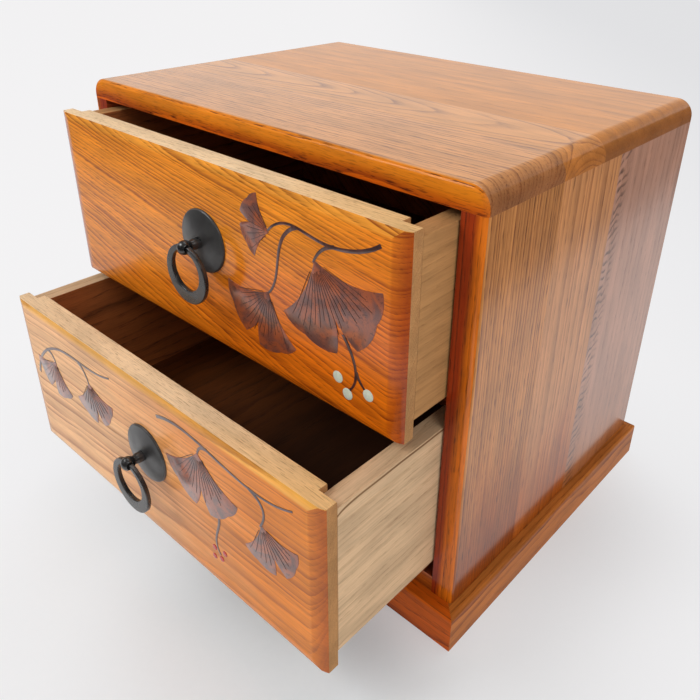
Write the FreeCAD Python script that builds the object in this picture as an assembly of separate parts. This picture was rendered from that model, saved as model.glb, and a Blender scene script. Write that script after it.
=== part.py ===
import FreeCAD, Part
import math
import os

# Miniature tansu chest with two drawers, in millimetres.
# X runs to the right, Y to the back and Z up. The origin lies on the table, under the middle of the
# chest's front edge, so it is a point of the front plinth rail's underside.
# The drawers are modelled part open, each ring pull hangs straight down.

# Chest
chest_width = 240.0
chest_depth = 172.0
side_thickness = 10.6
top_thickness = 9.8
bottom_thickness = 9.0
back_thickness = 5.0
back_rabbet = 5.0
divider_thickness = 4.0
divider_groove = 4.0
top_end_radius = 8.0
front_edge_radius = 2.2
top_joints = (50.0, 82.0)
side_joints = (50.0, 98.0)
dowel_radius = 3.0
dowel_length = 22.0
dowel_in_top = 6.5
dowel_places = (25.0, 74.0, 145.0)

# Plinth
plinth_height = 19.4
plinth_rail_width = 20.0
plinth_front_reach = 6.5
plinth_side_reach = 5.3
plinth_back_reach = 4.0
plinth_edge_radius = 1.5
screw_shank_radius = 2.0
screw_head_radius = 3.8
screw_head_depth = 2.6
screw_bite = 6.0
screw_sink = 0.6
screw_from_edge = 12.0
side_screw_places = (45.0, 130.0)
end_screw_places = (-70.0, 70.0)

# Drawers
front_height = 83.0
front_thickness = 11.1
front_lip = 7.0
front_overhang = 8.3
front_end_round_reach = 9.0
front_end_round_depth = 2.0
front_top_round_reach = 5.0
front_top_round_depth = 0.9
drawer_side_thickness = 8.6
drawer_side_drop = 2.9
drawer_back_thickness = 8.0
drawer_bottom_thickness = 3.0
drawer_bottom_groove = 3.0
drawer_bottom_rise = 4.0
runner_width = 10.0
upper_drawer_open = 25.4
lower_drawer_open = 65.0

# Clearances
front_side_gap = 0.8
front_bottom_gap = 0.5
front_middle_gap = 3.2
front_top_gap = 0.9
runner_gap = 0.2
drawer_rear_gap = 9.0
divider_front_gap = 1.4

# Ring pulls
upper_pull_rise = 6.4
lower_pull_rise = 4.6
plate_radius = 14.0
plate_edge = 1.1
plate_dome = 2.6
plate_edge_radius = 0.8
plate_flat = 1.0
plate_swell = 0.27
post_reach = 9.6
post_radius = 2.4
post_waist_radius = 1.9
post_collar = 2.5
ball_radius = 3.1
post_hole_radius = 2.0
shank_radius = 2.0
shank_hole_gap = 0.2
shank_tail = 1.2
washer_radius = 5.0
washer_thickness = 1.0
nut_across_flats = 7.0
nut_thickness = 3.2
ring_radius = 13.25
ring_hole_radius = 9.1
ring_top_band = 2.4
ring_thickness = 2.0
ring_edge_radius = 0.4

# Inlay
inlay_depth = 1.0
inlay_proud = 0.15
stem_width = 1.6
stem_tip_width = 0.9
shell_radius = 2.5
bead_radius = 1.4
leaf_spread = 60.0
leaf_corner_reach = 0.90
leaf_ridge_turn = 37.0
leaf_ridge_reach = 0.93
leaf_cleft_turn = 9.0
leaf_cleft_reach = 0.64
leaf_scallop = 0.11
leaf_cleft_swell = 0.05
leaf_waist = 0.09

# Each leaf: sideways place and height of its heel from the middle of the front, size, turn of its
# tip from straight up, anticlockwise.
upper_leaves = ((66.0, 19.0, 36.0, 207.0), (40.0, -3.0, 28.0, 156.0), (42.0, 22.5, 17.0, 84.0))
lower_leaves = ((-77.0, 17.0, 21.0, 160.0), (-45.0, 20.0, 22.0, 196.0), (39.0, 27.0, 30.0, 180.0),
                (76.0, 14.0, 22.0, 208.0))
# Each stem: points that it runs through, from its thick end to its tip.
upper_stems = (
    ((97.0, 34.0), (84.0, 28.0), (68.0, 27.0), (54.0, 29.0), (41.0, 22.6)),
    ((76.0, 27.0), (70.5, 24.5), (65.4, 17.8)),
    ((57.0, 28.7), (47.5, 18.0), (45.0, 6.0), (39.6, -3.9)),
    ((80.0, -6.0), (85.0, -14.0), (86.5, -21.0), (83.0, -29.0)),
    ((86.6, -19.0), (88.5, -22.5), (91.0, -25.0)),
)
lower_stems = (
    ((-98.0, 2.0), (-89.0, 17.0), (-70.0, 27.0), (-46.0, 28.5), (-24.0, 32.0)),
    ((-84.0, 21.4), (-79.5, 20.5), (-76.6, 15.9)),
    ((-52.0, 28.2), (-47.5, 25.0), (-44.7, 18.9)),
    ((12.0, 30.5), (30.0, 33.5), (52.0, 30.5), (72.0, 28.0), (94.0, 32.5)),
    ((46.0, 31.8), (41.5, 30.5), (39.0, 25.8)),
    ((70.0, 28.2), (77.5, 23.0), (75.4, 12.9)),
    ((46.0, 6.0), (49.0, -4.0), (46.0, -14.0), (48.0, -22.0)),
)
upper_shells = ((82.4, -30.8), (92.6, -26.6), (77.4, -25.4))
lower_beads = ((48.4, -24.0), (44.2, -20.2), (50.9, -19.4), (43.6, -25.6))

# Sizes that follow from the ones above
half_width = chest_width / 2
inner_half = half_width - side_thickness
opening_height = front_bottom_gap + 2 * front_height + front_middle_gap + front_top_gap
floor_z = plinth_height + bottom_thickness
ceiling_z = floor_z + opening_height
chest_top_z = ceiling_z + top_thickness
inner_depth = chest_depth - back_thickness
lower_front_z = floor_z + front_bottom_gap
upper_front_z = lower_front_z + front_height + front_middle_gap
divider_z = upper_front_z - front_middle_gap / 2 - divider_thickness / 2
divider_start_y = front_thickness + divider_front_gap
drawer_half = inner_half - front_side_gap
drawer_length = inner_depth - drawer_rear_gap
drawer_inner_half = drawer_half - drawer_side_thickness
side_height = front_height - front_overhang - drawer_side_drop


def block(x0, x1, y0, y1, z0, z1):
    """A box between two corners."""
    return Part.makeBox(x1 - x0, y1 - y0, z1 - z0, FreeCAD.Vector(x0, y0, z0))


def rod(radius, start, end):
    """A straight round rod from one point to another."""
    along = end - start
    return Part.makeCylinder(radius, along.Length, start, along)


def fillet_where(shape, radius, chosen):
    """Round the edges for which chosen(edge) is true."""
    edges = [edge for edge in shape.Edges if chosen(edge)]
    return shape.makeFillet(radius, edges)


def at(value, target):
    return abs(value - target) < 1e-6


def edge_between(edge, test):
    """True if both ends and the middle of the edge pass the test."""
    middle = edge.valueAt((edge.FirstParameter + edge.LastParameter) / 2)
    return all(test(point) for point in [vertex.Point for vertex in edge.Vertexes] + [middle])


def slice_along_y(shape, joints):
    """Cut a panel into staves at the given distances from its front."""
    box = shape.BoundBox
    cuts = (0.0,) + joints + (chest_depth,)
    staves = []
    for start, end in zip(cuts[:-1], cuts[1:]):
        slab = block(box.XMin, box.XMax, start, end, box.ZMin, box.ZMax)
        staves.append(shape.common(slab))
    return staves


# Chest pieces

def back_panel():
    reach = inner_half + back_rabbet
    return block(-reach, reach, inner_depth, chest_depth, plinth_height, ceiling_z + back_rabbet)


def divider_panel():
    reach = inner_half + divider_groove
    return block(-reach, reach, divider_start_y, inner_depth, divider_z, divider_z + divider_thickness)


def dowel_centres():
    x = half_width - side_thickness / 2
    return [(side * x, y) for side in (-1, 1) for y in dowel_places]


def dowels():
    top = ceiling_z + dowel_in_top
    made = []
    for x, y in dowel_centres():
        made.append(rod(dowel_radius, FreeCAD.Vector(x, y, top - dowel_length), FreeCAD.Vector(x, y, top)))
    return made


def top_board():
    """Full-width board whose upper long corners are rounded over, with a softened front edge."""
    r = top_end_radius
    k = r * (1 - math.sqrt(0.5))
    left, right, low, high = -half_width, half_width, ceiling_z, chest_top_z
    p = FreeCAD.Vector
    edges = [
        Part.makeLine(p(left, 0, low), p(right, 0, low)),
        Part.makeLine(p(right, 0, low), p(right, 0, high - r)),
        Part.Arc(p(right, 0, high - r), p(right - k, 0, high - k), p(right - r, 0, high)).toShape(),
        Part.makeLine(p(right - r, 0, high), p(left + r, 0, high)),
        Part.Arc(p(left + r, 0, high), p(left + k, 0, high - k), p(left, 0, high - r)).toShape(),
        Part.makeLine(p(left, 0, high - r), p(left, 0, low)),
    ]
    board = Part.Face(Part.Wire(edges)).extrude(p(0, chest_depth, 0))
    board = fillet_where(board, front_edge_radius, lambda e: edge_between(e, lambda q: at(q.y, 0))
                         and not edge_between(e, lambda q: at(q.z, ceiling_z)))
    board = board.cut(back_panel())
    for dowel in dowels():
        board = board.cut(dowel)
    return board


def side_panel(side):
    """Upright panel; side is -1 for the left one and 1 for the right one."""
    x0, x1 = sorted((side * inner_half, side * half_width))
    panel = block(x0, x1, 0, chest_depth, plinth_height, ceiling_z)
    panel = fillet_where(panel, front_edge_radius,
                         lambda e: edge_between(e, lambda q: at(q.y, 0) and at(q.x, side * half_width)))
    panel = panel.cut(back_panel()).cut(divider_panel())
    for dowel in dowels():
        panel = panel.cut(dowel)
    for screw in plinth_screws():
        panel = panel.cut(screw)
    return panel


def bottom_board():
    board = block(-inner_half, inner_half, 0, inner_depth, plinth_height, floor_z)
    for screw in plinth_screws():
        board = board.cut(screw)
    return board


def runners(z0, side_bottom):
    """The pair of strips that a drawer's sides slide on."""
    top = side_bottom - runner_gap
    inner = inner_half - runner_width
    return [
        block(-inner_half, -inner, divider_start_y, inner_depth, z0, top),
        block(inner, inner_half, divider_start_y, inner_depth, z0, top),
    ]


# Plinth

def plinth_corners():
    x = half_width + plinth_side_reach
    return -x, x, -plinth_front_reach, chest_depth + plinth_back_reach


def screw_centres():
    x0, x1, y0, y1 = plinth_corners()
    centres = [(x, y0 + screw_from_edge) for x in end_screw_places]
    centres += [(x, y1 - screw_from_edge) for x in end_screw_places]
    centres += [(x0 + screw_from_edge, y) for y in side_screw_places]
    centres += [(x1 - screw_from_edge, y) for y in side_screw_places]
    return centres


def plinth_screws():
    """Countersunk screws driven up through the plinth."""
    made = []
    z0 = screw_sink
    z1 = z0 + screw_head_depth
    z2 = plinth_height + screw_bite - screw_shank_radius
    for x, y in screw_centres():
        low, neck, high = [FreeCAD.Vector(x, y, z) for z in (z0, z1, z2)]
        head = Part.makeCone(screw_head_radius, screw_shank_radius, screw_head_depth, low)
        shank = rod(screw_shank_radius, neck, high)
        tip = Part.makeCone(screw_shank_radius, 0, screw_shank_radius, high)
        made.append(head.fuse(shank).fuse(tip).removeSplitter())
    return made


def plinth_rail(which):
    """One mitred rail: front, back, left or right."""
    x0, x1, y0, y1 = plinth_corners()
    w = plinth_rail_width
    outer = ((x0, y0), (x1, y0), (x1, y1), (x0, y1))
    inner = ((x0 + w, y0 + w), (x1 - w, y0 + w), (x1 - w, y1 - w), (x0 + w, y1 - w))
    first = ("front", "right", "back", "left").index(which)
    second = (first + 1) % 4
    corners = (outer[first], outer[second], inner[second], inner[first])
    points = [FreeCAD.Vector(x, y, 0) for x, y in corners]
    rail = Part.Face(Part.makePolygon(points + points[:1])).extrude(FreeCAD.Vector(0, 0, plinth_height))
    a, b = points[0], points[1]

    def on_outer_top(q):
        level = FreeCAD.Vector(q.x, q.y, 0)
        return at(q.z, plinth_height) and at(level.distanceToLine(a, b - a), 0)

    rail = fillet_where(rail, plinth_edge_radius, lambda e: edge_between(e, on_outer_top))
    for x, y in screw_centres():
        well = rod(screw_head_radius, FreeCAD.Vector(x, y, 0), FreeCAD.Vector(x, y, screw_sink))
        rail = rail.cut(well)
    for screw in plinth_screws():
        rail = rail.cut(screw)
    return rail


# Drawers

def round_radius(reach, depth):
    """Radius of an arc that leaves a face tangent and falls by depth over reach."""
    return (reach ** 2 + depth ** 2) / (2 * depth)


def eased_profile(half, reach, depth, thickness):
    """Board section seen end on: flat back, face at 0, arcs that ease both ends of the face.
    Returns edges in (along, back) coordinates as pairs and triples of points."""
    radius = round_radius(reach, depth)
    sweep = math.asin(reach / radius) / 2
    mid_along = half - reach + radius * math.sin(sweep)
    mid_back = radius - radius * math.cos(sweep)
    return [
        ((-half, thickness), (half, thickness)),
        ((half, thickness), (half, depth)),
        ((half, depth), (mid_along, mid_back), (half - reach, 0)),
        ((half - reach, 0), (reach - half, 0)),
        ((reach - half, 0), (-mid_along, mid_back), (-half, depth)),
        ((-half, depth), (-half, thickness)),
    ]


def wire_from(profile, place):
    """Turn a profile of point pairs and triples into a wire with the given placing function."""
    edges = []
    for points in profile:
        placed = [place(*point) for point in points]
        edges.append(Part.makeLine(*placed) if len(placed) == 2 else Part.Arc(*placed).toShape())
    return Part.Wire(edges)


def front_blank(face_y, z0):
    """Drawer front before its rabbets: eased along all four edges of its face."""
    plan = eased_profile(drawer_half, front_end_round_reach, front_end_round_depth, front_thickness)
    plan_wire = wire_from(plan, lambda a, b: FreeCAD.Vector(a, face_y + b, z0))
    upright = Part.Face(plan_wire).extrude(FreeCAD.Vector(0, 0, front_height))
    section = eased_profile(front_height / 2, front_top_round_reach, front_top_round_depth, front_thickness)
    middle = z0 + front_height / 2
    section_wire = wire_from(section, lambda a, b: FreeCAD.Vector(-drawer_half, face_y + b, middle + a))
    lengthwise = Part.Face(section_wire).extrude(FreeCAD.Vector(2 * drawer_half, 0, 0))
    return upright.common(lengthwise)


def drawer_front(face_y, z0, pull_z, inlays):
    board = front_blank(face_y, z0)
    back_y = face_y + front_thickness
    for x0, x1 in ((-drawer_half, -drawer_inner_half), (drawer_inner_half, drawer_half)):
        board = board.cut(block(x0, x1, face_y + front_lip, back_y, z0, z0 + front_height))
    board = board.cut(drawer_bottom(face_y, z0))
    hole_start = FreeCAD.Vector(0, face_y, pull_z)
    hole_end = FreeCAD.Vector(0, back_y, pull_z)
    board = board.cut(rod(shank_radius + shank_hole_gap, hole_start, hole_end))
    for inlay in inlays:
        board = board.cut(inlay)
    return board


def drawer_bottom(face_y, z0):
    """Thin panel held in grooves in the front and the sides, running under the back board."""
    reach = drawer_inner_half + drawer_bottom_groove
    low = z0 + front_overhang + drawer_bottom_rise
    start = face_y + front_thickness - drawer_bottom_groove
    return block(-reach, reach, start, face_y + drawer_length, low, low + drawer_bottom_thickness)


def drawer_side(side, face_y, z0):
    x0, x1 = sorted((side * drawer_inner_half, side * drawer_half))
    low = z0 + front_overhang
    board = block(x0, x1, face_y + front_lip, face_y + drawer_length, low, low + side_height)
    return board.cut(drawer_bottom(face_y, z0))


def drawer_back(face_y, z0):
    low = z0 + front_overhang + drawer_bottom_rise + drawer_bottom_thickness
    end = face_y + drawer_length
    top = z0 + front_overhang + side_height
    return block(-drawer_inner_half, drawer_inner_half, end - drawer_back_thickness, end, low, top)


# Ring pulls

def turned(points_and_arcs, centre):
    """Solid turned about the line through centre that points forwards.
    The profile is given as (radius, forward) pairs and triples."""
    wire = wire_from(points_and_arcs, lambda r, f: centre + FreeCAD.Vector(r, -f, 0))
    return Part.Face(wire).revolve(centre, FreeCAD.Vector(0, -1, 0), 360)


def pull_plate(centre):
    """Shallow domed disc with a rounded rim and a hole for the post's shank."""
    r, e, d, c = plate_radius, plate_edge, plate_dome, plate_edge_radius
    k = c * (1 - math.sqrt(0.5))
    hole = shank_radius
    flat = post_radius + plate_flat
    swell_r = (flat + r - c) / 2
    swell_f = (d + e) / 2 + plate_swell
    return turned([
        ((hole, 0), (r, 0)),
        ((r, 0), (r, e - c)),
        ((r, e - c), (r - k, e - k), (r - c, e)),
        ((r - c, e), (swell_r, swell_f), (flat, d)),
        ((flat, d), (hole, d)),
        ((hole, d), (hole, 0)),
    ], centre)


def pull_post(centre):
    """Shank, neck and ball in one; the ball is cross-drilled for the ring."""
    tail = front_thickness + washer_thickness + nut_thickness + shank_tail
    seat = math.sqrt(ball_radius ** 2 - post_waist_radius ** 2)
    neck_mid = plate_dome + post_collar
    post = turned([
        ((0, -tail), (shank_radius, -tail)),
        ((shank_radius, -tail), (shank_radius, plate_dome)),
        ((shank_radius, plate_dome), (post_radius, plate_dome)),
        ((post_radius, plate_dome), (post_radius, neck_mid)),
        ((post_radius, neck_mid), (post_waist_radius, post_reach - seat)),
        ((post_waist_radius, post_reach - seat), (ball_radius, post_reach), (0, post_reach + ball_radius)),
        ((0, post_reach + ball_radius), (0, -tail)),
    ], centre)
    eye = centre + FreeCAD.Vector(0, -post_reach, 0)
    across = FreeCAD.Vector(2 * ball_radius, 0, 0)
    return post.cut(rod(post_hole_radius, eye - across, eye + across))


def pull_ring(centre):
    """Flat ring, widest at the bottom, hanging from the post's eye."""
    front_y = centre.y - post_reach - ring_thickness / 2
    back_y = front_y + ring_thickness
    disc_z = centre.z + ring_top_band / 2 - ring_radius
    hole_z = centre.z - ring_top_band / 2 - ring_hole_radius
    disc = rod(ring_radius, FreeCAD.Vector(centre.x, front_y, disc_z), FreeCAD.Vector(centre.x, back_y, disc_z))
    hole = rod(ring_hole_radius, FreeCAD.Vector(centre.x, front_y, hole_z), FreeCAD.Vector(centre.x, back_y, hole_z))

    def on_rim(edge):
        return edge_between(edge, lambda q: at(q.y, front_y)) or edge_between(edge, lambda q: at(q.y, back_y))

    return fillet_where(disc.cut(hole), ring_edge_radius, on_rim)


def pull_washer(centre):
    back = front_thickness
    start = centre + FreeCAD.Vector(0, back, 0)
    end = centre + FreeCAD.Vector(0, back + washer_thickness, 0)
    return rod(washer_radius, start, end).cut(rod(shank_radius, start, end))


def pull_nut(centre):
    start = centre + FreeCAD.Vector(0, front_thickness + washer_thickness, 0)
    corner = nut_across_flats / math.sqrt(3)
    points = []
    for i in range(7):
        angle = math.radians(60 * i)
        points.append(start + FreeCAD.Vector(corner * math.cos(angle), 0, corner * math.sin(angle)))
    nut = Part.Face(Part.makePolygon(points)).extrude(FreeCAD.Vector(0, nut_thickness, 0))
    return nut.cut(rod(shank_radius, start, start + FreeCAD.Vector(0, nut_thickness, 0)))


# Inlay, drawn on the drawer front's face about its middle

def leaf_edges(x, z, size, turn, place):
    """Outline of a fan-shaped leaf with a cleft tip, from its heel around and back."""
    def spot(angle, reach):
        a = math.radians(turn + angle)
        return (x - size * reach * math.sin(a), z + size * reach * math.cos(a))

    corners = [
        (spot(leaf_spread, leaf_corner_reach), -leaf_waist),
        (spot(leaf_ridge_turn, leaf_ridge_reach), leaf_scallop),
        (spot(leaf_cleft_turn, 1.0), leaf_scallop),
        (spot(0, leaf_cleft_reach), leaf_cleft_swell),
        (spot(-leaf_cleft_turn, 1.0), leaf_cleft_swell),
        (spot(-leaf_ridge_turn, leaf_ridge_reach), leaf_scallop),
        (spot(-leaf_spread, leaf_corner_reach), leaf_scallop),
        (spot(0, 0), -leaf_waist),
    ]
    edges = []
    here = spot(0, 0)
    for there, swell in corners:
        dx, dz = there[0] - here[0], there[1] - here[1]
        middle = (here[0] + dx / 2 - dz * swell, here[1] + dz / 2 + dx * swell)
        edges.append(Part.Arc(place(*here), place(*middle), place(*there)).toShape())
        here = there
    return edges


def stem_face(points, place):
    """Narrow band that follows a smooth curve through the points and tapers to its tip."""
    path = Part.BSplineCurve()
    path.interpolate([FreeCAD.Vector(x, z, 0) for x, z in points])
    count = 2 * len(points) + 1
    first, last = path.FirstParameter, path.LastParameter
    sides = ([], [])
    for i in range(count):
        share = i / (count - 1)
        u = first + (last - first) * share
        spot = path.value(u)
        tangent = path.tangent(u)[0]
        half = (stem_width + (stem_tip_width - stem_width) * share) / 2
        for points_on_side, sign in zip(sides, (1, -1)):
            points_on_side.append(place(spot.x - sign * tangent.y * half, spot.y + sign * tangent.x * half))
    curves = []
    for points_on_side in sides:
        curve = Part.BSplineCurve()
        curve.interpolate(points_on_side)
        curves.append(curve.toShape())
    tip = Part.makeLine(sides[0][-1], sides[1][-1])
    foot = Part.makeLine(sides[1][0], sides[0][0])
    return Part.Face(Part.Wire(Part.sortEdges([curves[0], tip, curves[1], foot])[0]))


def dot_face(x, z, radius, place):
    circle = Part.Circle(place(x, z), FreeCAD.Vector(0, 1, 0), radius)
    return Part.Face(Part.Wire(circle.toShape()))


def inlay_set(face_y, z0, leaves, stems, dots, dot_radius):
    """Leaves, stems and dots of one front as lists of solids that don't overlap."""
    middle = z0 + front_height / 2
    thick = FreeCAD.Vector(0, inlay_proud + inlay_depth, 0)

    def place(x, z):
        return FreeCAD.Vector(x, face_y - inlay_proud, middle + z)

    leaf_solids = [Part.Face(Part.Wire(leaf_edges(*leaf, place))).extrude(thick) for leaf in leaves]
    dot_solids = [dot_face(x, z, dot_radius, place).extrude(thick) for x, z in dots]
    stem_shape = stem_face(stems[0], place).extrude(thick)
    for points in stems[1:]:
        stem_shape = stem_shape.fuse(stem_face(points, place).extrude(thick))
    for other in leaf_solids + dot_solids:
        stem_shape = stem_shape.cut(other)
    return leaf_solids, stem_shape.Solids, dot_solids


# Assembly

def chest_nodes():
    nodes = {}
    for name, stave in zip(("front", "middle", "back"), slice_along_y(top_board(), top_joints)):
        nodes["top_stave_" + name] = [stave]
    for label, side in (("left", -1), ("right", 1)):
        for name, stave in zip(("front", "middle", "back"), slice_along_y(side_panel(side), side_joints)):
            nodes[label + "_side_stave_" + name] = [stave]
    nodes["bottom_board"] = [bottom_board()]
    nodes["divider_panel"] = [divider_panel()]
    nodes["back_panel"] = [back_panel()]
    nodes["lower_runners"] = runners(floor_z, lower_front_z + front_overhang)
    nodes["upper_runners"] = runners(divider_z + divider_thickness, upper_front_z + front_overhang)
    nodes["top_dowels"] = dowels()
    nodes["plinth_screws"] = plinth_screws()
    for which in ("front", "back", "left", "right"):
        nodes["plinth_rail_" + which] = [plinth_rail(which)]
    return nodes


def drawer_nodes(label, opening, z0, pull_rise, inlay, dot_name):
    face_y = -opening
    leaf_solids, stem_solids, dot_solids = inlay_set(face_y, z0, *inlay)
    centre = FreeCAD.Vector(0, face_y, z0 + front_height / 2 + pull_rise)
    return {
        label + "_drawer_front": [drawer_front(face_y, z0, centre.z, leaf_solids + stem_solids + dot_solids)],
        label + "_drawer_left_side": [drawer_side(-1, face_y, z0)],
        label + "_drawer_right_side": [drawer_side(1, face_y, z0)],
        label + "_drawer_back": [drawer_back(face_y, z0)],
        label + "_drawer_bottom": [drawer_bottom(face_y, z0)],
        label + "_inlay_leaves": leaf_solids,
        label + "_inlay_stems": stem_solids,
        label + "_inlay_" + dot_name: dot_solids,
        label + "_pull_plate": [pull_plate(centre)],
        label + "_pull_post": [pull_post(centre)],
        label + "_pull_ring": [pull_ring(centre)],
        label + "_pull_washer": [pull_washer(centre)],
        label + "_pull_nut": [pull_nut(centre)],
    }


nodes = chest_nodes()
upper_inlay = (upper_leaves, upper_stems, upper_shells, shell_radius)
lower_inlay = (lower_leaves, lower_stems, lower_beads, bead_radius)
nodes.update(drawer_nodes("upper", upper_drawer_open, upper_front_z, upper_pull_rise, upper_inlay, "shells"))
nodes.update(drawer_nodes("lower", lower_drawer_open, lower_front_z, lower_pull_rise, lower_inlay, "beads"))

os.makedirs("parts", exist_ok=True)
for name, solids in nodes.items():
    shape = solids[0] if len(solids) == 1 else Part.makeCompound(solids)
    if not shape.isValid():
        raise ValueError(name + " is not a valid shape")
    shape.exportStep("parts/" + name + ".step")
    print(name, len(shape.Solids), round(shape.Volume, 1))
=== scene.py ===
"""Looks of the miniature tansu chest: varnished boards, raw drawer wood, black ring pulls and leaf inlay.

Sizes of pieces are metres. Patterns in the wood are worked out in millimetres, and so are the places of
the pith lines that its rings run round."""

import math

import bmesh
import bpy
from mathutils import Euler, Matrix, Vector


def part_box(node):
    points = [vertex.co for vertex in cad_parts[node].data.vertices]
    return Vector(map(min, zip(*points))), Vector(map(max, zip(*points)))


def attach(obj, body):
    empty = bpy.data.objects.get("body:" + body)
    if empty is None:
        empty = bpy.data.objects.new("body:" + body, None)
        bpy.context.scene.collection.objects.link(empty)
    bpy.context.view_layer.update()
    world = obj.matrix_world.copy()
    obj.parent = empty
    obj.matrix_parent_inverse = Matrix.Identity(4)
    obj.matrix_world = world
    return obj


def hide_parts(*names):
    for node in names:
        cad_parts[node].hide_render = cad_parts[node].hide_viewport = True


bl_info = {
    "name": "Miniature tansu chest",
    "version": (1, 0, 0),
    "blender": (4, 5, 0),
    "location": "3D View > Sidebar > Tansu chest",
    "description": "Dresses the packed chest with its boards, drawers, pulls, inlay and stage",
    "category": "Object",
}

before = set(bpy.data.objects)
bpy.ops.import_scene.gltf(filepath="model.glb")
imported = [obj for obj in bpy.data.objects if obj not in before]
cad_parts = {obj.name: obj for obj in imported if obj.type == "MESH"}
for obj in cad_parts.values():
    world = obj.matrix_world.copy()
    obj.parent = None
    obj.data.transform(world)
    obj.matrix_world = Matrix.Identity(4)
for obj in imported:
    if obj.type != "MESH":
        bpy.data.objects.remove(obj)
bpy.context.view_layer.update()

MM = 0.001
DRAWERS = ("upper", "lower")
HANDS = {"left": 1, "right": -1}  # each side's hand and which way is inward along X

WELD = 0.0005 * MM  # points closer than this are one point
SAME_PLANE = math.radians(0.6)  # flatter folds than this are dissolved
ARRIS_ANGLE = math.radians(28)  # sharper folds than this are arrises
MITRE_ANGLE = math.radians(7)  # easings that meet at more than this keep their line
NEAR = 0.1 * MM  # points closer than this to a face count as on it
FACING = 0.9  # a face looks along an axis when its normal has this share
FORWARD = 0.5  # a rounded face counts as front from this share on
BROW = 0.35  # and so does the rounded edge of the top board

STAIN_RINGS = "#3A1606"
STAIN_PORES = "#1C0A03"


# Small helpers

def linear(hex_colour):
    """sRGB hex to the linear colour that the shader wants."""
    channels = [int(hex_colour[i:i + 2], 16) / 255 for i in (1, 3, 5)]
    return [c / 12.92 if c <= 0.04045 else ((c + 0.055) / 1.055) ** 2.4 for c in channels] + [1.0]


def add(tree, kind, inputs=(), stops=(), curve="EASE", **settings):
    """Add a node with its settings and links, and return it.

    The kind can be followed by a space and its operation or type of data. A list of inputs fills the
    node's live sockets in order, and a dict names them. A node or a socket is linked, None is passed
    over, and any other value is set, a hex colour as its linear one. Stops are places and grey levels
    of a ramp."""
    kind, _, variant = kind.partition(" ")
    if not kind.startswith(("Geometry", "Function", "NodeGroup")):
        kind = "ShaderNode" + kind
    node = tree.nodes.new(kind)
    if variant:
        setattr(node, "operation" if kind.endswith("Math") else "data_type", variant)
    for name, value in settings.items():
        setattr(node, name, value)
    if isinstance(inputs, dict):
        pairs = [(node.inputs[name], value) for name, value in inputs.items()]
    else:
        pairs = list(zip([socket for socket in node.inputs if socket.enabled], inputs))
    for socket, value in pairs:
        if isinstance(value, bpy.types.Node):
            value = next(output for output in value.outputs if output.enabled)
        if isinstance(value, bpy.types.NodeSocket):
            tree.links.new(value, socket)
        elif value is not None:
            socket.default_value = linear(value) if isinstance(value, str) else value
    if stops:
        node.color_ramp.interpolation = curve
        points = node.color_ramp.elements
        while len(points) < len(stops):
            points.new(0.5)
        for point, (place, level) in zip(points, stops):
            point.position = place
            point.color = (level, level, level, 1.0)
    return node


def new_material(name):
    """An empty material, its node tree, and the place on the object that its patterns hang on."""
    made = bpy.data.materials.new(name)
    made.use_nodes = True
    made.node_tree.nodes.clear()
    return made, made.node_tree, add(made.node_tree, "TexCoord").outputs["Object"]


def shaded(made, look):
    """The material with its surface."""
    tree = made.node_tree
    add(tree, "OutputMaterial", [add(tree, "BsdfPrincipled", look)])
    return made


# Materials

def grain_space(tree, place, grain, offset):
    """A board's axes in millimetres: all three, the one along the grain, and the two across it in turn.

    The last thing handed back makes noise in blotches of a length along the grain and a breadth across
    it. The offset keeps boards with different rings from sharing their blotches."""
    place = add(tree, "VectorMath MULTIPLY", [place, (1 / MM, 1 / MM, 1 / MM)])
    axes = add(tree, "SeparateXYZ", [place]).outputs
    along, across = axes[grain], (axes[(grain + 1) % 3], axes[(grain + 2) % 3])

    def drawn_out(length, breadth, detail, shift=0.0):
        spot = add(tree, "CombineXYZ", [
            add(tree, "Math MULTIPLY_ADD", [along, 1 / length, shift + offset]),
            add(tree, "Math MULTIPLY", [across[0], 1 / breadth]),
            add(tree, "Math MULTIPLY", [across[1], 1 / breadth])])
        return add(tree, "TexNoise", {"Vector": spot, "Scale": 1.0, "Detail": detail})

    return axes, along, across, drawn_out


def growth_rings(tree, along, across, drawn_out, pith, lean, ring, wander, reach, steady, bite):
    """How far a point lies into its year's growth, and the dark early wood at the start of each year."""
    stray = drawn_out(reach, reach * 0.32, 2.0, pith[0] * 0.01).outputs["Color"]
    stray = add(tree, "SeparateColor", [stray]).outputs
    squares = []
    for value, centre, slope, noise in zip(across, pith, lean, stray):
        axis = add(tree, "Math MULTIPLY_ADD", [along, slope, centre + wander / 2])
        away = add(tree, "Math SUBTRACT", [value, axis])
        away = add(tree, "Math MULTIPLY_ADD", [noise, wander, away])
        squares.append(add(tree, "Math MULTIPLY", [away, away]))
    radius = add(tree, "Math SQRT", [add(tree, "Math ADD", squares)])
    years = add(tree, "Math DIVIDE", [radius, ring])
    season = add(tree, "TexNoise", {"W": years, "Scale": 0.45, "Detail": 1.0}, noise_dimensions="1D")
    years = add(tree, "Math MULTIPLY_ADD", [season, 1.6, years])
    share = add(tree, "Math FRACT", [years])
    each = add(tree, "TexWhiteNoise", [add(tree, "Math FLOOR", [years])], noise_dimensions="1D")
    strength = add(tree, "Math MULTIPLY_ADD", [each, 1.0 - steady, steady])
    band = add(tree, "ValToRGB", [share], curve="LINEAR",
               stops=((0.0, 0.0), (0.14 * bite, 1.0), (0.45 * bite, 0.62), (bite, 0.14), (0.94, 0.0)))
    fading = add(tree, "ValToRGB", [drawn_out(60.0, 4.0, 1.0, 17.0)], stops=((0.3, 0.5), (0.6, 1.0)))
    band = add(tree, "Math MULTIPLY", [band, fading])
    return share, add(tree, "Math MULTIPLY", [band, strength])


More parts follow.
